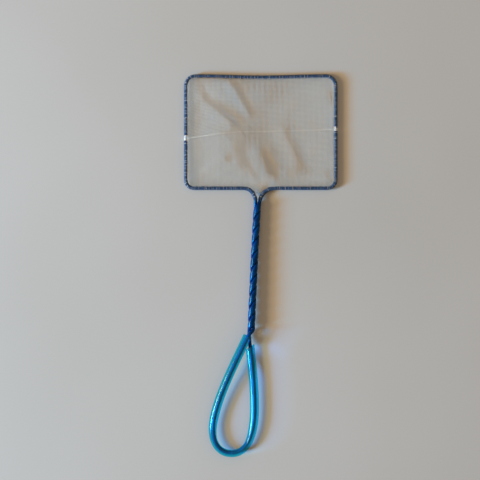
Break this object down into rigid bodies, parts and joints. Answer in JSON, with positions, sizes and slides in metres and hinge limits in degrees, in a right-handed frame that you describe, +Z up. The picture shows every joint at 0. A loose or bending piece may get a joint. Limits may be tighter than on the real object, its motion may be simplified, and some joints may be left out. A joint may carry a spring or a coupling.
{
  "type": "hand net",
  "caption": "Small hand-held net with a rectangular wire hoop, fine white mesh bag, twisted blue wire handle and a tube-covered hanging loop, lying flat with the bag collapsed.",
  "frame": {"origin": "on the surface that the net lies on, halfway along the net and under the middle of the hoop's width", "axes": "+Y from the hanging loop towards the hoop, +Z up out of the hoop's mouth, +X to the right"},
  "size_m": [0.153, 0.3795, 0.0136],
  "materials": {
    "steel": "satin",
    "blue_pvc": "gloss",
    "cyan_pvc": "gloss",
    "white_netting": "matte",
    "white_thread": "matte",
    "blue_thread": "matte"
  },
  "bodies": {
    "root": {"steel_core": "steel", "wire_coating": "blue_pvc", "grip_tube": "cyan_pvc", "net_panel_upper": "white_netting", "net_panel_lower": "white_netting", "side_seam_left": "white_thread", "side_seam_right": "white_thread", "binding_upper": "blue_thread", "binding_lower_left": "blue_thread", "binding_lower_right": "blue_thread"}
  },
  "joints": []
}
